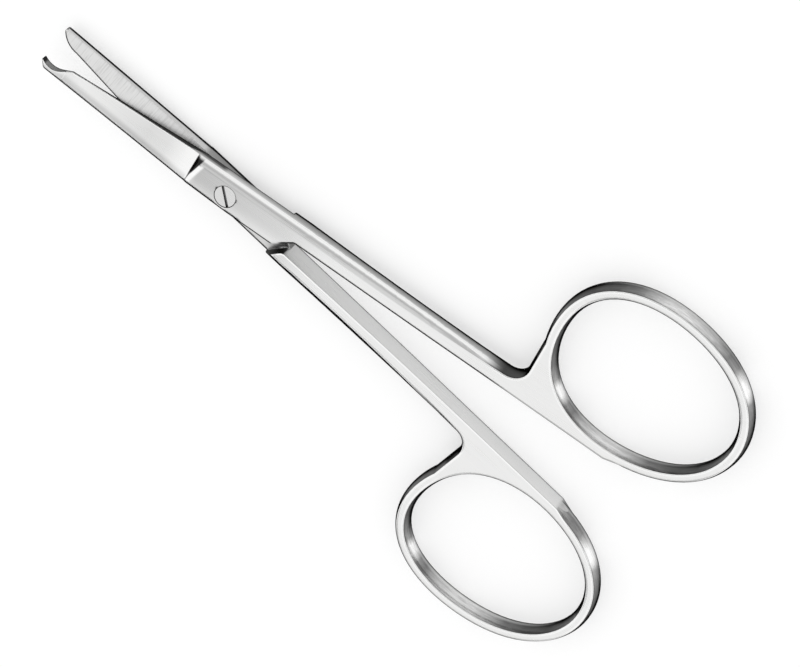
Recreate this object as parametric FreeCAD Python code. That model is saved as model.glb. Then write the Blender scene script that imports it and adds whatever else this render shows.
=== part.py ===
import FreeCAD, Part
import os
from math import atan2, cos, pi, radians, sin, sqrt

# Stitch scissors, about 9 cm long: two forged halves, lapped over each other at one pivot screw.
# The hooked blade lies on top and lifts the thread, and the plain blade with the blunt tip cuts
# against it from below.
#
# Each half is drawn in a flat frame of its own, in millimetres. X runs from the pivot to the finger
# ring, Y to the ring's side, and Z is 0 where the two halves slide on each other. Z is up, on the
# side of the half's own layer. Both are then turned about the pivot to the opening of the rest pose.

os.makedirs("parts", exist_ok=True)
Vec = FreeCAD.Vector

# Opening: each half is turned this many degrees from the closed scissors' middle line.
half_opening = 5.17

# Thickness: half of the full thickness at the joint and at the rings, and the sliding clearance.
joint_half = 1.60
ring_half = 1.28
lap_clearance = 0.02

# Shank: a bar with flat faces, a bulging outer wall and an inner wall that leans away from Y = 0
# only towards the joint.
joint_width = 2.41
joint_end = 9.8
joint_bulge = 1.0
joint_corner = 0.45
shank_middle = 22.0
shank_middle_width = 2.20
shank_middle_half = 1.41
shank_end = 37.2
shank_end_width = 2.08
wall_lean_y = 0.18
wall_middle_x = 18.5
wall_middle_y = 0.075
wall_straight_x = 28.0

# Finger ring: a bulging band round a slightly egg-shaped oval.
ring_centre_x = 50.84
ring_centre_y = 10.64
ring_long = 12.10
ring_short = 9.90
ring_lean = -7.9
ring_lobe = 0.021
ring_lobe_turn = 12.8
ring_square = 0.010
ring_square_turn = 8.8
ring_band = 1.755
ring_bulge = 0.45
ring_corner = 0.13
ring_path_points = 20

# Web between shank and ring, with the round notch on the outside.
notch_radius = 1.78
notch_lean = 3.5
web_wall_end = 51.6
web_from = 196.0
web_to = 300.0
web_reach = 0.30
web_points = 8
web_overlap = 0.1

# Lap joint: the own layer ends in a slanted heel, and full thickness begins at a slanted shoulder.
heel_start_x = 7.0
heel_end_x = 9.45
heel_corner = 0.30
shoulder_outer_x = 7.50
shoulder_inner_x = 9.05
shoulder_corner = 0.80

# Blades: both cutting edges run to the same place at the joint.
edge_root_x = -5.5
edge_root_y = 2.33
edge_root_height = 0.72
edge_tip_height = 0.06
spine_root_x = 1.0
spine_root_height = 1.52
spine_middle_height = 1.15
spine_tip_height = 0.88
spine_mid_x = -12.0
grind_root = -5.05
grind_middle = -11.0
grind_tip = -23.0
grind_run_out = 1.4

# Shoulder of the grinding: a steep ramp and a light lip, both wider on the cutting edge's side.
# The reaches and heights are those at the two border lines of the grinding.
grind_low_y = -2.0
grind_high_y = 3.0
ramp_low_reach = 0.03
ramp_high_reach = 0.63
ramp_low_height = 1.585
ramp_high_height = 1.44
lip_low_reach = 0.10
lip_high_reach = 1.31
lip_rise = 0.01

# The spine's outer edge is softened: this far over the outer face and this far down the spine.
soft_across = 0.24
soft_down = 0.15

# Hooked blade: nose, hook notch and the start of the cutting edge.
hook_nose_x = -25.45
hook_nose_y = -0.32
hook_point_x = -26.05
hook_point_y = 0.70
hook_point_width = 0.12
hook_notch_radius = 2.40
hook_notch_x = -24.55
hook_notch_y = 2.71
hook_edge_x = -22.35
hook_edge_y = 1.15
hook_spine_mid_y = -1.23
hook_spine_root_y = -1.76

# Plain blade: blunt tip.
blunt_nose_x = -25.45
blunt_nose_y = -0.75
blunt_turn_x = -25.79
blunt_turn_y = -0.65
blunt_front_x = -25.90
blunt_front_y = -0.42
blunt_mid_x = -25.05
blunt_mid_y = 0.42
blunt_edge_x = -23.20
blunt_edge_y = 0.88
blunt_spine_mid_y = -1.52
blunt_spine_root_y = -1.80

# Pivot screw, flush with the upper face, its slot turned as in the rest pose.
head_radius = 1.335
head_height = 0.70
head_chamfer = 0.06
slot_width = 0.32
slot_depth = 0.42
slot_turn = -45.8
bearing_radius = 0.85
thread_radius = 0.75
head_clearance = 0.04
bearing_clearance = 0.03
head_sink = 0.02
end_sink = 0.05

# Cutters reach this far past what they cut, and the largest ones this far across the half.
past = 1.0
far = 5.0


def line(a, b):
    return Part.LineSegment(a, b).toShape()


def arc(a, b, c):
    return Part.Arc(a, b, c).toShape()


def chain(points):
    """Straight edges through the points, closed."""
    return [line(a, b) for a, b in zip(points, points[1:] + points[:1])]


def prism(edges, bottom, top):
    """A flat outline at Z = 0, made solid between two heights."""
    face = Part.Face(Part.Wire(Part.__sortEdges__(edges)))
    face.translate(Vec(0, 0, bottom))
    return face.extrude(Vec(0, 0, top - bottom))


# Rounded side of a bar or a band

def side_edges(place, reach, half, bulge, corner, rounded):
    """The side from the lower flat to the upper flat: corner, wide bulging arc, corner. The
    corners are arcs, or flat chamfers of the same size. place(u, v) puts a point of the section,
    u outwards and v up. Returns the edges and where the two flats end."""
    wide = (half ** 2 + bulge ** 2) / (2 * bulge)
    middle = reach - wide
    run = sqrt((wide - corner) ** 2 - (half - corner) ** 2)
    flat_end = middle + run
    tilt = atan2(half - corner, run)
    between = (tilt + pi / 2) / 2
    join_u = middle + wide * cos(tilt)
    join_v = wide * sin(tilt)
    mid_u = flat_end + corner * cos(between)
    mid_v = half - corner + corner * sin(between)
    low = place(flat_end, -half)
    high = place(flat_end, half)
    low_join = place(join_u, -join_v)
    high_join = place(join_u, join_v)
    side = arc(low_join, place(reach, 0), high_join)
    if rounded:
        return [arc(low, place(mid_u, -mid_v), low_join), side,
                arc(high_join, place(mid_u, mid_v), high)], low, high
    return [line(low, low_join), side, line(high_join, high)], low, high


def bar_section(x, width, half, bulge, corner, rounded=True):
    """Section of the shank across X: flat faces, open inner side, bulging outer side."""
    edges, low, high = side_edges(lambda u, v: Vec(x, u, v), width, half, bulge, corner, rounded)
    inner = -far
    edges.append(line(high, Vec(x, inner, half)))
    edges.append(line(Vec(x, inner, half), Vec(x, inner, -half)))
    edges.append(line(Vec(x, inner, -half), low))
    return Part.Wire(edges)


# Finger ring

def ring_point(angle):
    """Middle line of the ring at an angle in degrees, counted from the ring's long axis."""
    a = radians(angle)
    swell = (1 + ring_lobe * cos(3 * (a - radians(ring_lobe_turn)))
             - ring_square * cos(4 * (a - radians(ring_square_turn))))
    u = ring_long * cos(a) * swell
    v = ring_short * sin(a) * swell
    lean = radians(ring_lean)
    return Vec(ring_centre_x + u * cos(lean) - v * sin(lean),
               ring_centre_y + u * sin(lean) + v * cos(lean), 0)


def ring_solid():
    """The band's bulging section, carried round the ring's middle line."""
    step = 360.0 / ring_path_points
    curve = Part.BSplineCurve()
    curve.interpolate([ring_point(i * step) for i in range(ring_path_points)], PeriodicFlag=True)
    path = Part.Wire(curve.toShape())
    start = curve.value(curve.FirstParameter)
    along = curve.tangent(curve.FirstParameter)[0]
    out = Vec(along.y, -along.x, 0)
    outer, outer_low, outer_high = side_edges(lambda u, v: start + out * u + Vec(0, 0, v),
                                              ring_band / 2, ring_half, ring_bulge, ring_corner, False)
    inner, inner_low, inner_high = side_edges(lambda u, v: start - out * u + Vec(0, 0, v),
                                              ring_band / 2, ring_half, ring_bulge, ring_corner, False)
    inner.reverse()
    section = Part.Wire(outer + [line(outer_high, inner_high)] + inner + [line(inner_low, outer_low)])
    ring = path.makePipeShell([section], True, True)
    if ring.Volume < 0:
        ring.reverse()
    return ring


# Web and notch

notch_x = shank_end
notch_y = shank_end_width + notch_radius


def notch_cutter():
    """Room outside the notch: a spool round the notch's centre and a straight length along the
    ring's front, so that the wall left behind bulges like the ring."""
    top = ring_half + past
    edges, low, high = side_edges(lambda u, v: Vec(notch_x, notch_y - notch_radius + u, v), 0, ring_half,
                                  ring_bulge, ring_corner, False)
    edges += [line(high, Vec(notch_x, high.y, top)),
              line(Vec(notch_x, high.y, top), Vec(notch_x, notch_y, top)),
              line(Vec(notch_x, notch_y, top), Vec(notch_x, notch_y, -top)),
              line(Vec(notch_x, notch_y, -top), Vec(notch_x, low.y, -top)),
              line(Vec(notch_x, low.y, -top), low)]
    face = Part.Face(Part.Wire(edges))
    turn = 90 + notch_lean
    spool = face.revolve(Vec(notch_x, notch_y, 0), Vec(0, 0, 1), turn)
    face.rotate(Vec(notch_x, notch_y, 0), Vec(0, 0, 1), turn)
    lean = radians(notch_lean)
    straight = face.extrude(Vec(-sin(lean), cos(lean), 0) * 2 * far)
    return spool.fuse(straight)


def web_solid():
    """Flat plate from the shank's end into the ring's band, with the notch cut out of it. Its inner
    wall runs out along the ring's outer side."""
    step = (web_to - web_from) / (web_points - 1)
    reach = [ring_point(web_to - i * step) for i in range(web_points)]
    curve = Part.BSplineCurve()
    curve.interpolate(reach)
    corner = Vec(shank_end, 0, 0)
    wall_end = Vec(web_wall_end, 0, 0)
    along = ring_point(web_to + 1) - ring_point(web_to - 1)
    run_out = reach[0] + Vec(along.y, -along.x, 0).normalize() * web_reach
    upper = Vec(notch_x + web_overlap, reach[-1].y, 0)
    notch = Vec(notch_x, notch_y, 0)
    edges = [line(corner, wall_end), line(wall_end, run_out), line(run_out, reach[0]),
             curve.toShape(), line(reach[-1], upper), line(upper, notch), line(notch, corner)]
    return prism(edges, -ring_half, ring_half).cut(notch_cutter())


# Blades

def spine_point(x, tip, mid_y, root_y):
    """Where the spine's arc stands at x."""
    curve = arc(Vec(tip.x, tip.y, 0), Vec(spine_mid_x, mid_y, 0), Vec(spine_root_x, root_y, 0)).Curve
    centre = curve.Center
    return centre.y - sqrt(curve.Radius ** 2 - (x - centre.x) ** 2)


def touch_point(centre, radius, point):
    """Where the straight line from a point touches a circle, on the circle's lower side."""
    away = point - centre
    turn = atan2(sqrt(away.Length ** 2 - radius ** 2), radius)
    a = atan2(away.y, away.x) - turn
    return centre + Vec(cos(a), sin(a), 0) * radius


def edge_line(start):
    """Cutting edge from its start near the tip, past its root and clear of the bar."""
    slope = (edge_root_y - start.y) / (edge_root_x - start.x)
    x = edge_root_x + 2 * past
    end = Vec(x, start.y + slope * (x - start.x), 0)
    return [line(start, end),
            line(end, Vec(x, far, 0)),
            line(Vec(x, far, 0), Vec(shank_end, far, 0)),
            line(Vec(shank_end, far, 0), Vec(shank_end, 0, 0)),
            line(Vec(shank_end, 0, 0), Vec(wall_straight_x, 0, 0))]


def corner_points(corner, back, radius):
    """A rounded corner between the inner wall, which runs on along X, and the direction back:
    where its arc starts on the wall, its middle and where it ends."""
    wall = Vec(1, 0, 0)
    half_angle = wall.getAngle(back) / 2
    reach = radius * cos(half_angle) / sin(half_angle)
    bisector = (wall + back).normalize()
    middle = corner + bisector * (radius / sin(half_angle) - radius)
    return corner + wall * reach, middle, corner + back * reach


def heel_points(root_y):
    """The heel's low corner at the spine, and its rounded corner at the inner wall."""
    heel = Vec(heel_end_x, wall_lean_y, 0)
    low = Vec(heel_start_x, root_y, 0)
    return low, corner_points(heel, (low - heel).normalize(), heel_corner)


def heel_edges(root_y):
    """From the shank's inner wall round the slanted heel and along to the root of the spine."""
    low, (on_wall, middle, on_heel) = heel_points(root_y)
    wall = arc(Vec(wall_straight_x, 0, 0), Vec(wall_middle_x, wall_middle_y, 0), on_wall)
    return [wall, arc(on_wall, middle, on_heel), line(on_heel, low),
            line(low, Vec(spine_root_x, root_y, 0))]


def hooked_outline():
    """Outline of the hooked half's own layer, seen from above."""
    nose = Vec(hook_nose_x, hook_nose_y, 0)
    point = Vec(hook_point_x, hook_point_y, 0)
    centre = Vec(hook_notch_x, hook_notch_y, 0)
    edge_start = Vec(hook_edge_x, hook_edge_y, 0)
    inside_x = point.x + hook_point_width
    inside = Vec(inside_x, centre.y - sqrt(hook_notch_radius ** 2 - (inside_x - centre.x) ** 2), 0)
    touch = touch_point(centre, hook_notch_radius, edge_start)
    return (heel_edges(hook_spine_root_y)
            + [arc(Vec(spine_root_x, hook_spine_root_y, 0), Vec(spine_mid_x, hook_spine_mid_y, 0), nose),
               line(nose, point),
               line(point, inside),
               arc(inside, Vec(centre.x, centre.y - hook_notch_radius, 0), touch),
               line(touch, edge_start)]
            + edge_line(edge_start))


def blunt_outline():
    """Outline of the plain half's own layer, seen with the half turned over."""
    nose = Vec(blunt_nose_x, blunt_nose_y, 0)
    front = Vec(blunt_front_x, blunt_front_y, 0)
    edge_start = Vec(blunt_edge_x, blunt_edge_y, 0)
    turn = Vec(blunt_turn_x, blunt_turn_y, 0)
    return (heel_edges(blunt_spine_root_y)
            + [arc(Vec(spine_root_x, blunt_spine_root_y, 0), Vec(spine_mid_x, blunt_spine_mid_y, 0), nose),
               arc(nose, turn, front),
               arc(front, Vec(blunt_mid_x, blunt_mid_y, 0), edge_start)]
            + edge_line(edge_start))


def grind_section(x_low, x_high, z_low, z_high, spine_y):
    """A section of the metal ground away, from the spine's side to the edge's side. Just inside the
    spine it turns down, which softens the spine's outer edge."""
    top = joint_half + past
    low = Vec(x_low, grind_low_y, z_low)
    high = Vec(x_high, grind_high_y, z_high)
    reach = spine_y + soft_across - grind_low_y
    bend = low + (high - low) * (reach / (grind_high_y - grind_low_y))
    below = low - Vec(0, 0, soft_down * reach / soft_across)
    return Part.Wire(chain([below, bend, high, Vec(x_high, grind_high_y, top),
                            Vec(x_low, grind_low_y, top)]))


def blade_grind(nose, spine_mid_y, spine_root_y):
    """The ground outer face: a twisted bevel from the spine down to the edge, which runs out into
    the thick tip at one end and up a shoulder to the joint at the other. Over the joint only the
    spine's softened edge goes on."""
    span = grind_root - grind_tip
    stations = []
    for x, spine_height in ((grind_root, spine_root_height), (grind_middle, spine_middle_height),
                            (grind_tip, spine_tip_height)):
        share = (x - grind_tip) / span
        edge_height = edge_tip_height + (edge_root_height - edge_tip_height) * share
        edge_y = hook_edge_y + (edge_root_y - hook_edge_y) * share
        spine_y = spine_point(x, nose, spine_mid_y, spine_root_y)
        slope = (edge_height - spine_height) / (edge_y - spine_y)
        stations.append(grind_section(x, x, spine_height + slope * (grind_low_y - spine_y),
                                      spine_height + slope * (grind_high_y - spine_y), spine_y))

    def level_section(x, height):
        spine_y = spine_point(x, nose, spine_mid_y, spine_root_y) if x < spine_root_x else spine_root_y
        return grind_section(x, x, height, height, spine_y)

    shoulder_y = spine_point(grind_root, nose, spine_mid_y, spine_root_y)
    end = level_section(hook_point_x - past, spine_tip_height)
    flat = level_section(grind_tip - grind_run_out, spine_tip_height)
    ramp = grind_section(grind_root + ramp_low_reach, grind_root + ramp_high_reach,
                         ramp_low_height, ramp_high_height, shoulder_y)
    lip = grind_section(grind_root + lip_low_reach, grind_root + lip_high_reach,
                        joint_half + lip_rise, joint_half + lip_rise, shoulder_y)
    over_joint = level_section(spine_root_x, joint_half + lip_rise)
    over_heel = level_section(heel_start_x + past, joint_half + lip_rise)
    cutter = Part.makeLoft(stations, True, False)
    for a, b in ((end, flat), (flat, stations[-1]), (stations[0], ramp), (ramp, lip),
                 (lip, over_joint), (over_joint, over_heel)):
        cutter = cutter.fuse(Part.makeLoft([a, b], True, True))
    return cutter


# A half

def lap_pocket(root_y):
    """Room for the other half: everything below the sliding plane on the blade's side of the
    shoulder."""
    slope = (shoulder_inner_x - shoulder_outer_x) / (joint_width - wall_lean_y)
    inner = Vec(shoulder_inner_x, wall_lean_y, 0)
    outer = Vec(shoulder_inner_x - slope * (far - wall_lean_y), far, 0)
    on_wall, middle, on_slant = corner_points(inner, (outer - inner).normalize(), shoulder_corner)
    end = heel_points(root_y)[1][0]
    tip = hook_point_x - 2 * past
    edges = [line(outer, on_slant), arc(on_slant, middle, on_wall), line(on_wall, end),
             line(end, Vec(end.x, -far, 0)), line(Vec(end.x, -far, 0), Vec(tip, -far, 0)),
             line(Vec(tip, -far, 0), Vec(tip, far, 0)), line(Vec(tip, far, 0), outer)]
    return prism(edges, -joint_half - past, lap_clearance / 2)


def forged_half(outline, nose, spine_mid_y, spine_root_y):
    """One half without its screw hole, in its own frame."""
    block = Part.makeLoft([bar_section(hook_point_x - past, joint_width, joint_half, joint_bulge,
                                       joint_corner),
                           bar_section(joint_end, joint_width, joint_half, joint_bulge, joint_corner)],
                          True, True)
    shank = Part.makeLoft([bar_section(joint_end, joint_width, joint_half, joint_bulge, joint_corner),
                           bar_section(shank_middle, shank_middle_width, shank_middle_half,
                                       joint_bulge, joint_corner),
                           bar_section(shank_end, shank_end_width, ring_half, ring_bulge,
                                       ring_corner, False)], True, False)
    bar = block.fuse(shank)
    plan = prism(outline, -joint_half - past, joint_half + past)
    bar = bar.common(plan)
    bar = bar.cut(lap_pocket(spine_root_y))
    bar = bar.cut(blade_grind(nose, spine_mid_y, spine_root_y))
    bow = web_solid().fuse(ring_solid())
    inner_side = Part.makeBox(ring_centre_x, far, 2 * far, Vec(shank_end - past, -far, -far))
    bow = bow.cut(inner_side)
    return bar.fuse(bow)


def round_hole(radius, bottom, top):
    return Part.makeCylinder(radius, top - bottom, Vec(0, 0, bottom))


seat_height = joint_half - head_sink - head_height

hooked = forged_half(hooked_outline(), Vec(hook_nose_x, hook_nose_y, 0), hook_spine_mid_y,
                     hook_spine_root_y)
hooked = hooked.cut(round_hole(bearing_radius + bearing_clearance, -past, joint_half + past))
hooked = hooked.cut(round_hole(head_radius + head_clearance, seat_height, joint_half + past))

plain = forged_half(blunt_outline(), Vec(blunt_nose_x, blunt_nose_y, 0), blunt_spine_mid_y,
                    blunt_spine_root_y)
plain = plain.cut(round_hole(thread_radius, -past, joint_half + past))
plain.rotate(Vec(0, 0, 0), Vec(1, 0, 0), 180)


# Pivot screw

def screw_solid():
    """Slotted screw: head in its seat, smooth bearing length in the hooked half and a thinner
    threaded length in the plain half, drawn at the thread's outside."""
    top = joint_half - head_sink
    seat = seat_height + lap_clearance
    step = -lap_clearance / 2
    end = -joint_half + end_sink
    side = [Vec(0, 0, top), Vec(head_radius - head_chamfer, 0, top),
            Vec(head_radius, 0, top - head_chamfer), Vec(head_radius, 0, seat),
            Vec(bearing_radius, 0, seat), Vec(bearing_radius, 0, step), Vec(thread_radius, 0, step),
            Vec(thread_radius, 0, end + head_chamfer), Vec(thread_radius - head_chamfer, 0, end),
            Vec(0, 0, end)]
    body = Part.Face(Part.Wire(chain(side))).revolve(Vec(0, 0, 0), Vec(0, 0, 1), 360)
    slot = Part.makeBox(4 * head_radius, slot_width, slot_depth + past,
                        Vec(-2 * head_radius, -slot_width / 2, top - slot_depth))
    slot.rotate(Vec(0, 0, 0), Vec(0, 0, 1), slot_turn)
    return body.cut(slot)


screw = screw_solid()

# Place the pieces: turn both halves to the rest pose and stand the joint's underside on Z = 0.
hooked.rotate(Vec(0, 0, 0), Vec(0, 0, 1), half_opening)
plain.rotate(Vec(0, 0, 0), Vec(0, 0, 1), -half_opening)
for name, shape in (("hooked_half", hooked), ("plain_half", plain), ("pivot_screw", screw)):
    shape.translate(Vec(0, 0, joint_half))
    solids = shape.Solids
    print(name, "solids", len(solids), "valid", shape.isValid(), "volume", round(shape.Volume, 3),
          "box", [round(v, 2) for v in (shape.BoundBox.XMin, shape.BoundBox.XMax, shape.BoundBox.YMin,
                                        shape.BoundBox.YMax, shape.BoundBox.ZMin, shape.BoundBox.ZMax)])
    shape.exportStep("parts/" + name + ".step")
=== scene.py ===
import math

import bpy
from mathutils import Matrix, Vector

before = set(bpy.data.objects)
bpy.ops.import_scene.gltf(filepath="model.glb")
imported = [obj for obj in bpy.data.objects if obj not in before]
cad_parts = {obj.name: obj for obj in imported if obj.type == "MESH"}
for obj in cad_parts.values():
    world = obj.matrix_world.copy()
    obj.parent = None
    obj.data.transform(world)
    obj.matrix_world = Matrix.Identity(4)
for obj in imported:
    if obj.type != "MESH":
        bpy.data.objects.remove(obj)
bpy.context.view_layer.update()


# The lower, plain half: one stainless forging from the blunt blade through the lap joint to its
# finger ring. Its faces are belt-ground lengthwise, its ring is polished round the band, and the
# hollow-ground inside of its blade keeps the wheel's fine lines across it.

MM = 0.001
HALF_OPENING = math.radians(5.17)    # each half stands off the middle line by this angle

# Places along a half, in mm from the pivot.
HOOK_END = -25.7
GRIND_TIP = -23.0
HOOK_ROOT = -22.9
GRIND_FOOT = -5.05
RAMP_FOOT = -4.70
SCREW_RIM = 1.9
SHOULDER_FRONT, SHOULDER_BACK = 7.0, 9.9
HEEL = 8.6
NECK = 34.0
RING_START = 38.2
NOTCH_END = 39.5
INNER_WALL_END = 51.2

# Heights and widths, in mm.
LAP = 1.60                           # where the two halves slide on each other
THICKNESS = 1.6                      # of one half
SPINE_TIP_HEIGHT = 0.88              # of the blade's spine, where the grinding ends at the hook
SPINE_RISE = 0.64                    # how much higher the spine is at the grinding's foot
# The painted highlight and shade lines along the edges reach this far from them.
EDGE_WIDTH = 0.38                    # how far from an edge its lines reach
ROUNDING = 0.09                      # of all edges
RAMP_SLANT = 0.28                    # how much the ramp's foot leans back for each mm across

# A surface is a flat face, or a wall square to the half, when its normal points that way by this
# much. The finish changes over from the first value to the second.
FLAT_FROM, FLAT_TO = 0.78, 0.86
SQUARE_FROM, SQUARE_TO = 0.9, 0.97

# Marks in the steel: how fine they are along it, across it and in height, and how detailed.
FINE_BELT = (150, 9000, 9000, 3.0)
COARSE_BELT = (55, 2600, 2600, 2.0)
WHEEL = (6500, 260, 260, 3.0)
SWIRL = (900, 900, 7000, 3.0)
CLOUDS = (170, 420, 420, 2.0)

# The brightness of the steel where it is even, and of the painted light and shade, from 0 to 1.
SHANK_TONE = 0.82
WHEEL_TONE = 0.79
INNER_WALL_TONE = 0.76
# The next eight are painted light and shade: painted light on the spine near the lap, painted shade on
# the walls of the hook, the cutting edge and the notch, painted dark lines and ramp shade, a painted
# black shade at the spine's foot, and painted highlights on the edges and on the lip.
NEAR_LAP_PAINTED_LIGHT = 0.66
HOOK_PAINTED_SHADE = 0.24
CUT_WALL_PAINTED_SHADE = 0.08
NOTCH_PAINTED_SHADE = 0.065
PAINTED_LINE_SHADE = 0.03
PAINTED_FOOT_SHADE = 0.02
PAINTED_HIGHLIGHT_TONE = 0.96
LIP_PAINTED_HIGHLIGHT = 0.95
COOLER = 0.995                       # blue, as a share of red and green

# Brightness along the ground blade, from its tip to its shoulder.
GROUND_TONES = ((0.0, 0.87), (0.22, 0.84), (0.44, 0.76), (0.60, 0.70), (0.70, 0.74), (0.80, 0.90),
                (0.86, 0.93))

# Painted light and shade over the rolled outer wall, from facing down at 0 to facing up at 1: an
# even grey, black painted shade where it faces out and a little down, a painted highlight band with
# a clear lower border and a dull painted line under the face's edge.
ROLLED_WALL_PAINTED_LIGHT = ((0.0, 0.80), (0.08, 0.45), (0.15, 0.20), (0.22, 0.02), (0.39, 0.02), (0.43, 0.12),
                (0.46, 0.30), (0.50, 0.33), (0.60, 0.37), (0.646, 0.42), (0.675, 0.54), (0.70, 0.83),
                (0.74, 0.88), (0.77, 0.95), (0.795, 0.86), (0.815, 0.64), (0.835, 0.50), (0.86, 0.49),
                (0.875, 0.58), (0.89, 0.70), (0.91, 0.80), (1.0, 0.82))

# Painted shade along the blade's spine, from the tip to the joint.
SPINE_PAINTED_SHADE = ((0.0, 0.70), (0.38, 0.68), (0.52, 0.39), (0.61, 0.31), (0.7, 0.26))

# Painted reflections on the polished ring walls: their brightness by the direction that they face round
# the vertical.
RING_PAINTED_REFLECTIONS = ((0.0, 0.15), (0.11, 0.13), (0.20, 0.17), (0.265, 0.30), (0.305, 0.90), (0.335, 0.80),
              (0.375, 0.24), (0.41, 0.18), (0.455, 0.40), (0.51, 0.56), (0.555, 0.56), (0.60, 0.34),
              (0.645, 0.15), (0.72, 0.08), (0.83, 0.065), (0.92, 0.10), (1.0, 0.15))


class Finish:
    """The nodes of a material or of the world, with one method that adds any node."""

    def __init__(self, owner):
        owner.use_nodes = True
        self.nodes = owner.node_tree.nodes
        self.links = owner.node_tree.links
        self.nodes.clear()

    def node(self, kind, settings=None, **values):
        """Adds a node. A ramp's stops are pairs of a place and a brightness. An input goes by its name,
        with _ for a space, or by i and its number."""
        made = self.nodes.new("ShaderNode" + kind)
        for name, value in (settings or {}).items():
            if name == "stops":
                elements = made.color_ramp.elements
                for element, (place, tone) in zip(elements, value):
                    element.position, element.color = place, (tone, tone, tone, 1)
                for place, tone in value[2:]:
                    elements.new(place).color = (tone, tone, tone, 1)
            else:
                setattr(made, name, value)
        for name, value in values.items():
            socket = made.inputs[int(name[1:]) if name[1:].isdigit() else name.replace("_", " ")]
            if isinstance(value, Field):
                value = value.socket
            if isinstance(value, bpy.types.NodeSocket):
                self.links.new(value, socket)
            else:
                socket.default_value = value
        return made

    def field(self, kind, settings=None, output=0, **values):
        return Field(self, self.node(kind, settings, **values).outputs[output])

    def split(self, vector):
        return [self.field("SeparateXYZ", output=axis, i0=vector) for axis in range(3)]


class Field:
    """A number or a vector that varies over the steel. Sums and products add Math nodes."""

    def __init__(self, finish, socket):
        self.finish = finish
        self.socket = socket

    def maths(self, operation, first, second=0.0):
        return self.finish.field("Math", {"operation": operation}, i0=first, i1=second)

    def __add__(self, other):
        return self.maths("ADD", self, other)

    def __radd__(self, other):
        return self.maths("ADD", other, self)

    def __sub__(self, other):
        return self.maths("SUBTRACT", self, other)

    def __rsub__(self, other):
        return self.maths("SUBTRACT", other, self)

    def __mul__(self, other):
        return self.maths("MULTIPLY", self, other)

    def __rmul__(self, other):
        return self.maths("MULTIPLY", other, self)

    def __abs__(self):
        return self.maths("ABSOLUTE", self)

    def over(self, low, high):
        """0 below low, 1 above high, and a smooth step between them; low may be the larger."""
        return self.finish.field("MapRange", {"interpolation_type": "SMOOTHSTEP"},
                                 i0=self, i1=low, i2=high)

    def between(self, low, high, rising, falling):
        """1 from low to high. It rises from 0 up to low and falls to 0 from high, over those widths."""
        return self.over(low - rising, low) * self.over(high + falling, high)

    def along(self, stops):
        """The brightness at places from 0 to 1, as a ramp with those stops."""
        return self.finish.field("ValToRGB", {"stops": stops}, i0=self)


def mix(first, second, share):
    """The first where the share is 0, the second where it is 1."""
    return first * (1 - share) + second * share


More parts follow.
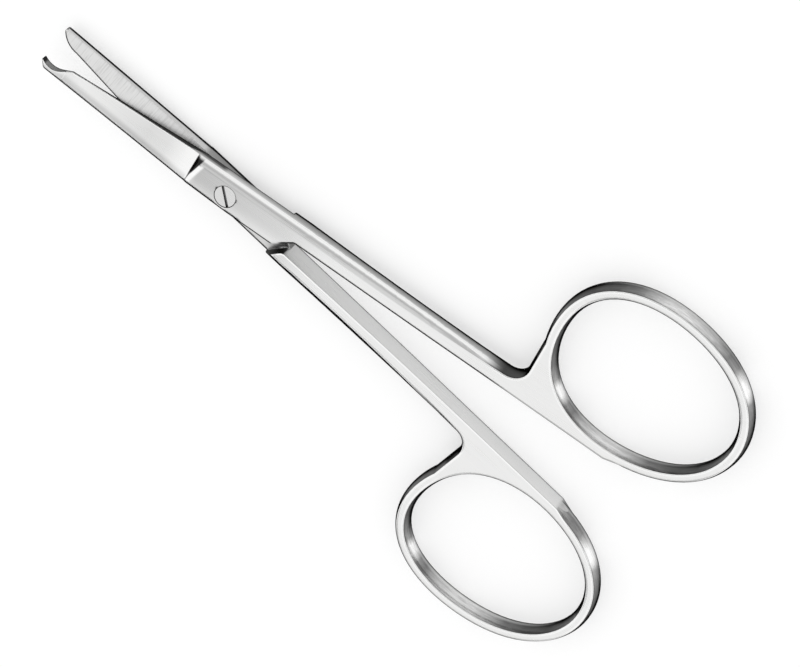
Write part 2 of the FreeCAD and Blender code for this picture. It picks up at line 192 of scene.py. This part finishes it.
class Steel(Finish):
    """The ground and polished steel of one half, with its own places in mm: x from the pivot towards
    the ring, y from the blade's spine towards its edge, and height off the lap. side is 1 for the
    hooked half and -1 for the plain half, which is turned over."""

    def __init__(self, material, side, spine_low, spine_low_x, spine_radius):
        super().__init__(material)
        self.side = side
        self.hooked = max(side, 0)    # 1 for the hooked half, 0 for the plain half
        self.spine = spine_low, spine_low_x, spine_radius
        turn = (0, 0, -side * HALF_OPENING)
        self.own = self.field("Mapping", i0=self.field("TexCoord", output="Object"), Rotation=turn)
        x, y, z = (place * (1 / MM) for place in self.split(self.own))
        y = y * side
        self.x, self.y, self.z = x, y, z
        self.off_lap = side * (z - LAP)

        # Which way the surface faces. facing_row_y is towards the hooked half's ring for both.
        normal = self.field("TexCoord", output="Normal")
        facing = self.field("Mapping", i0=normal, Rotation=turn)
        self.facing_x, self.facing_row_y, self.up = self.split(facing)
        self.facing_y = self.facing_row_y * side

        # Softened edges: where the surface bends over one, and which way it then faces.
        edge = self.field("Bevel", {"samples": 8}, Radius=EDGE_WIDTH * MM)
        soft = self.field("VectorTransform", {"vector_type": "NORMAL", "convert_from": "WORLD",
                                              "convert_to": "OBJECT"}, i0=edge)
        self.bent = 1 - self.field("VectorMath", {"operation": "DOT_PRODUCT"}, output="Value",
                                   i0=soft, i1=normal)
        soft_facing = self.field("Mapping", i0=soft, Rotation=turn)
        self.soft_y, self.soft_up = self.split(soft_facing)[1:]
        self.leaning = self.facing_row_y - self.soft_y

        # The zones: flat faces, ground blade, its inside, the ring, and the shank's inner wall.
        self.flat = abs(self.up).over(FLAT_FROM, FLAT_TO)
        self.blade = x.over(GRIND_FOOT + 0.3, GRIND_FOOT - 0.3)
        self.inside = x.over(1.0, -1.0) * abs(z - LAP).over(0.06, 0.03)
        self.bow = x.over(RING_START - 2.5, RING_START + 1.0)
        self.inner_wall = (x.between(HEEL + 1.0, INNER_WALL_END, 1.0, 1.2) * abs(y).over(0.32, 0.22)
                           * self.facing_y.over(-SQUARE_FROM, -SQUARE_TO))
        self.bow_wall = self.bow * (1 - self.inner_wall)

    def grain(self, along, across, height, detail):
        stretched = self.field("VectorMath", {"operation": "MULTIPLY"}, i0=self.own,
                               i1=(along, across, height))
        return self.field("TexNoise", {"noise_dimensions": "3D"}, Vector=stretched, Scale=1.0,
                          Detail=detail, Roughness=0.6)

    def face_tone(self):
        """Flat faces are satin: the joint is greyer, and the ground blade is greyest halfway, whitest
        at its shoulder, with painted shade towards the spine. Between the halves it is painted dim with
        shade at the shoulder."""
        x, y = self.x, self.y
        joint = x.over(16, SHOULDER_FRONT) * x.over(GRIND_FOOT, GRIND_FOOT + 1.2)
        joint_tone = 0.57 + 0.012 * x + 0.17 * y.over(0.2, -2.0)
        ground = (x * 0.04 + 1.05).along(GROUND_TONES)
        # Painted shade along the spine side of the ground blade.
        ground = ground - 0.20 * y.over(-0.75 - 0.06 * x, -1.45 - 0.06 * x)
        face = mix(mix(SHANK_TONE, joint_tone, joint), ground, self.blade)
        face = mix(face, WHEEL_TONE, self.inside)
        # Painted shade on the lap between the halves, behind the shoulder.
        gap_painted_shade = x.over(6.4, 8.4) * abs(self.z - LAP).over(0.04, 0.02)
        return face * (1 - gap_painted_shade * (0.20 + 0.45 * y.over(2.6, 1.0)))

    def spine_painted_light_and_shade(self):
        """The spine's painted shade: grey with a painted black shade at its foot, and beside the joint
        painted light near the lap.
        """
        x = self.x
        ground_part = (x - GRIND_TIP) * (1 / (GRIND_FOOT - GRIND_TIP))
        height = self.field("Math", {"operation": "MINIMUM"},
                            i0=SPINE_TIP_HEIGHT + SPINE_RISE * ground_part * ground_part,
                            i1=THICKNESS)
        # Painted light on the spine near the lap, beside the joint.
        lap_painted_light = (1 - self.hooked) * self.off_lap.over(0.95, 0.75) * x.over(-4.6, -5.6)
        tone = mix((x * 0.03 + 0.7).along(SPINE_PAINTED_SHADE), NEAR_LAP_PAINTED_LIGHT, lap_painted_light)
        # Painted black shade at the spine's foot.
        return mix(tone, PAINTED_FOOT_SHADE, (self.off_lap - height).over(-0.62, -0.45))

    def wall_painted_light_and_shade(self):
        """The outer wall is rolled and carries painted light and shade, and the inner wall and the
        spine are flat and grey, with painted shade. The walls of the cutting edge, the hook, the
        shoulder and the notch at the ring are painted dark with shade."""
        x, y = self.x, self.y
        # Painted shade: the inner wall is darker under its top edge.
        inner_wall_tone_and_shade = INNER_WALL_TONE - 0.14 * (self.soft_up - self.up).over(0.02, 0.25)
        spine_wall = x.over(HEEL, HEEL - 0.6) * self.facing_y.over(-SQUARE_FROM, -SQUARE_TO)
        wall = mix((self.up * 0.5 + 0.5).along(ROLLED_WALL_PAINTED_LIGHT), inner_wall_tone_and_shade, self.inner_wall)
        wall = mix(wall, self.spine_painted_light_and_shade(), spine_wall)
        # Painted shade on the cutting edge's wall.
        wall = mix(wall, CUT_WALL_PAINTED_SHADE, x.over(-1, -2) * self.facing_y.over(SQUARE_FROM, SQUARE_TO))
        # Painted shade on the hook's wall, black towards its tip.
        hook = x.over(HOOK_ROOT + 0.5, HOOK_ROOT) * self.z.over(LAP, LAP + 0.1)
        wall = mix(wall, HOOK_PAINTED_SHADE - 0.20 * x.over(HOOK_END + 0.35, HOOK_END), hook)
        # Painted shade on the shoulder's wall.
        shoulder = (x.between(SHOULDER_FRONT + 0.4, SHOULDER_BACK - 0.3, 0.4, 0.3)
                    * self.facing_x.over(-0.2, -0.4))
        wall = wall * (1 - shoulder * (0.10 + 0.40 * y.over(2.2, 0.6)))
        wall = mix(wall, self.ring_swirl_and_painted_reflections(), self.bow_wall)
        # Painted shade in the notch at the ring.
        notch = x.between(NECK + 3.0, NOTCH_END, 3.0, 1.0) * y.between(1.6, 5.5, 0.4, 1.0)
        return mix(wall, NOTCH_PAINTED_SHADE, notch)

    def ring_swirl_and_painted_reflections(self):
        """The ring's walls are mirror polished, with painted reflections: streaks of light and dark
        round the band, lighter where they face up and where they face well down, over the polish swirl.
        """
        round_z = self.field("Math", {"operation": "ARCTAN2"}, i0=self.facing_row_y, i1=self.facing_x)
        streaks = (abs(round_z + self.side * HALF_OPENING) * (1 / math.pi)).along(RING_PAINTED_REFLECTIONS)
        swirl = self.grain(*SWIRL)
        return streaks * (0.55 + 0.9 * swirl) * (1 + 0.55 * self.up) + 0.45 * self.up.over(0.12, -0.25)

    def painted_highlight_line(self):
        """Flat faces end in a painted highlight line, but not beside the rolled wall or round the
        screw.
        """
        x, y = self.x, self.y
        beside_roll = (self.soft_y.over(0.0, 0.02) * y.over(0.8, 1.1)
                       * x.between(-3.6, NECK, 0.6, 2.0))
        off_screw = (x * x + y * y).over(SCREW_RIM ** 2, (SCREW_RIM + 0.3) ** 2)
        return self.flat * self.bent.over(0.003, 0.007) * (1 - beside_roll) * off_screw

    def painted_dark_line(self):
        """Painted dark lines of shade where an edge turns away, under a wall, along the keen edge and
        the spine.
        """
        x, y, flat, blade, bent = self.x, self.y, self.flat, self.blade, self.bent
        sharp = (bent.over(0.0015, 0.004) * self.up.over(0.3, 0.5)
                 * self.leaning.over(0.03 + 0.05 * blade, 0.09 + 0.17 * blade))
        roll_side = y.over(0.4, 0.7) * x.between(-3.8, NECK, 0.6, 2.0)
        lapped = x.between(3.2, 7.6, 0.8, 0.6) * self.z.over(LAP, LAP + 0.1)
        sharp = sharp * (1 - roll_side * self.hooked) * (1 - 0.7 * lapped) * (1 - 0.4 * self.bow)
        away = self.up.over(0.1, 0.3) * self.facing_row_y.over(-0.25, -0.38)
        under = ((1 - flat) * bent.over(0.01, 0.04) * (self.up - self.soft_up).over(0.06, 0.16)
                 * (1 - 0.7 * self.bow_wall))
        keen = (blade * (1 - self.inside) * flat * bent.over(0.035, 0.09)
                * (0 - self.leaning * self.side).over(0.08, 0.20))
        spine_low, spine_low_x, spine_radius = self.spine
        from_low = x - spine_low_x
        spine_y = from_low * from_low * (0.5 / spine_radius) + spine_low
        spine = (y - spine_y).over(0.26, 0.18) * x.over(2.6, 1.6) * (1 - self.inside) * flat
        return 1 - (1 - sharp) * (1 - away) * (1 - under) * (1 - keen) * (1 - spine)

    def shoulder_painted_shade_and_highlight(self, tone):
        """The shoulder of the grinding: painted shade on the steep ramp that runs out in a point, and a
        painted highlight on the lip.
        """
        y = self.y
        rise = self.x - RAMP_FOOT - RAMP_SLANT * y
        joint_side = (self.x.over(GRIND_FOOT - 0.08, GRIND_FOOT + 0.02)
                      * self.off_lap.over(0.0, 0.1))
        ramp = joint_side * rise.over(0.08, -0.08) * y.over(-0.9, 0.2) * y.over(2.25, 1.9)
        lip = joint_side * rise.over(0.70, 0.35) * (1 - ramp) * self.flat
        return tone * (1 - ramp) * (1 - lip) + PAINTED_LINE_SHADE * ramp + LIP_PAINTED_HIGHLIGHT * lip

    def surface(self):
        """Belt marks along the half, wheel marks across the blade's inside, and all the tones with the
        painted light and shade.
        """
        inside = self.inside
        belt = self.grain(*FINE_BELT) * 0.6 + self.grain(*COARSE_BELT) * 0.4
        lines = mix(belt, self.grain(*WHEEL), inside)
        patch = self.grain(*CLOUDS)
        satin = 1 - self.bow * (1 - self.flat)
        tone = mix(self.wall_painted_light_and_shade(), self.face_tone(), self.flat)
        tone = mix(tone, PAINTED_HIGHLIGHT_TONE - 0.22 * inside, self.painted_highlight_line())
        tone = mix(self.shoulder_painted_shade_and_highlight(tone), PAINTED_LINE_SHADE, self.painted_dark_line())
        tone = tone * (0.93 + 0.14 * lines * satin + 0.07 * (1 - satin)) * (0.97 + 0.06 * patch)
        tone = tone * (1 - 0.12 * inside * lines.over(0.52, 0.34))
        colour = self.field("CombineColor", i0=tone, i1=tone, i2=tone * COOLER)
        rough = 0.16 + 0.20 * lines * satin + 0.06 * patch + 0.30 * inside
        bump = self.field("Bump", Height=lines * satin, Strength=0.25, Distance=0.004 * MM,
                          Normal=self.field("Bevel", {"samples": 6}, Radius=ROUNDING * MM))
        shader = self.node("BsdfPrincipled", Base_Color=colour, Metallic=1.0, Roughness=rough,
                           Normal=bump, Specular_Tint=(0.0, 0.0, 0.0, 1))
        self.node("OutputMaterial", Surface=shader.outputs[0])


def dress(piece, finish_name):
    """Gives the piece one new material, and returns it."""
    material = bpy.data.materials.new(finish_name)
    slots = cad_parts[piece].data.materials
    slots.clear()
    slots.append(material)
    return material


steel = dress("plain_half", "satin_steel_plain_half")
Steel(steel, -1, spine_low=-1.803, spine_low_x=2.49, spine_radius=371.3).surface()


# The upper, hooked half: the same forging with the hook-tipped blade. It lies over the plain half
# and turns on the pivot screw.

steel = dress("hooked_half", "satin_steel_hooked_half")
Steel(steel, 1, spine_low=-1.948, spine_low_x=14.63, spine_radius=494.1).surface()


# The pivot screw: a small turned and slotted stainless screw, threaded into the plain half and
# ground flush with the hooked half's face.

turned = Finish(dress("pivot_screw", "turned_steel_pivot_screw"))
stretched = turned.field("VectorMath", {"operation": "MULTIPLY"},
                         i0=turned.field("TexCoord", output="Object"), i1=(160, 7000, 7000))
lines = turned.field("TexNoise", Vector=stretched, Scale=1.0, Detail=3.0)
up = turned.split(turned.field("TexCoord", output="Normal"))[2]
# The walls of the head and of its slot are painted dark with shade.
tone = (0.62 + 0.12 * lines) * abs(up).over(0.2, 0.9) + 0.10 * abs(up).over(0.9, 0.2)
colour = turned.field("CombineColor", i0=tone, i1=tone, i2=tone * COOLER)
bump = turned.field("Bump", Height=lines, Strength=0.2, Distance=0.003 * MM,
                    Normal=turned.field("Bevel", {"samples": 6}, Radius=0.05 * MM))
shader = turned.node("BsdfPrincipled", Base_Color=colour, Metallic=1.0,
                     Roughness=0.22 + 0.12 * lines, Normal=bump)
turned.node("OutputMaterial", Surface=shader.outputs[0])


# The table: a plain white sheet, far larger than the scissors, that keeps their soft shadow. It
# glows a little for the camera and for mirrors, and so stays as pale as the photograph's ground.

SHEET = 0.9                          # half the sheet's side, in m
SHEET_CENTRE = (0.02, 0, -0.02 * MM)
PAPER_WHITE = 0.56
GLOW = 0.48
table_mesh = bpy.data.meshes.new("table")
table_mesh.from_pydata([(-SHEET, -SHEET, 0), (SHEET, -SHEET, 0), (SHEET, SHEET, 0), (-SHEET, SHEET, 0)],
                       [], [(0, 1, 2, 3)])
table = bpy.data.objects.new("table", table_mesh)
table.location = SHEET_CENTRE
bpy.context.scene.collection.objects.link(table)
table_mesh.materials.append(bpy.data.materials.new("white_paper"))
paper = Finish(table_mesh.materials[0])
seen = (paper.field("LightPath", output="Is Camera Ray")
        + paper.field("LightPath", output="Is Glossy Ray")
        + paper.field("LightPath", output="Is Transmission Ray"))
matt = paper.node("BsdfDiffuse", Color=(PAPER_WHITE, PAPER_WHITE, PAPER_WHITE, 1))
unlit = paper.node("Emission", Color=(0, 0, 0, 1), Strength=0.0)
glow = paper.node("Emission", Color=(1, 1, 1, 1), Strength=GLOW)
lift = paper.node("MixShader", i0=seen, i1=unlit.outputs[0], i2=glow.outputs[0])
both = paper.node("AddShader", i0=matt.outputs[0], i1=lift.outputs[0])
paper.node("OutputMaterial", Surface=both.outputs[0])


# The studio: a soft, even white room, a little darker behind the camera and near the table. The
# camera itself sees it as plain white.

TO_CAMERA = (0, 0.563, 0.826)
ROOM_LIGHT = 1.02
DIMMER_BEHIND_CAMERA = 0.30
DIMMER_LOW_DOWN = 0.12
world = bpy.data.worlds.new("studio")
bpy.context.scene.world = world
room = Finish(world)
way = room.field("TexCoord", output="Generated")
behind_camera = room.field("VectorMath", {"operation": "DOT_PRODUCT"}, output="Value",
                           i0=way, i1=TO_CAMERA).over(0.90, 0.98)
low_down = room.split(way)[2].over(0.45, 0.0)
shell = room.node("Background", Color=(1, 1, 1, 1),
                  Strength=ROOM_LIGHT - DIMMER_BEHIND_CAMERA * behind_camera
                  - DIMMER_LOW_DOWN * low_down)
white = room.node("Background", Color=(1, 1, 1, 1), Strength=1.0)
pick = room.node("MixShader", i0=room.field("LightPath", output="Is Camera Ray"),
                 i1=shell.outputs[0], i2=white.outputs[0])
room.node("OutputWorld", Surface=pick.outputs[0])


# The camera stands over the scissors on their upper right side, as in the photograph. Its place
# and directions are those that the photograph was calibrated to.

SENSOR_WIDTH = 36.0
LENS_PER_WIDTH = 3041.7 / 800
CAMERA_PLACE = Vector((25.094, 193.425, 285.758)) * MM
lens = bpy.data.cameras.new("camera")
lens.sensor_width = SENSOR_WIDTH
lens.lens = SENSOR_WIDTH * LENS_PER_WIDTH
lens.clip_start = 0.01
camera = bpy.data.objects.new("camera", lens)
right = Vector((0.774632, 0.522316, -0.356556))
down = Vector((0.632412, -0.640010, 0.436397))
forward = Vector((-0.000262, -0.563537, -0.826091))
turn = Matrix((right, -down, -forward)).transposed().to_4x4()
camera.matrix_world = Matrix.Translation(CAMERA_PLACE) @ turn
bpy.context.scene.collection.objects.link(camera)
bpy.context.scene.camera = camera
bpy.context.scene.view_settings.view_transform = "Standard"
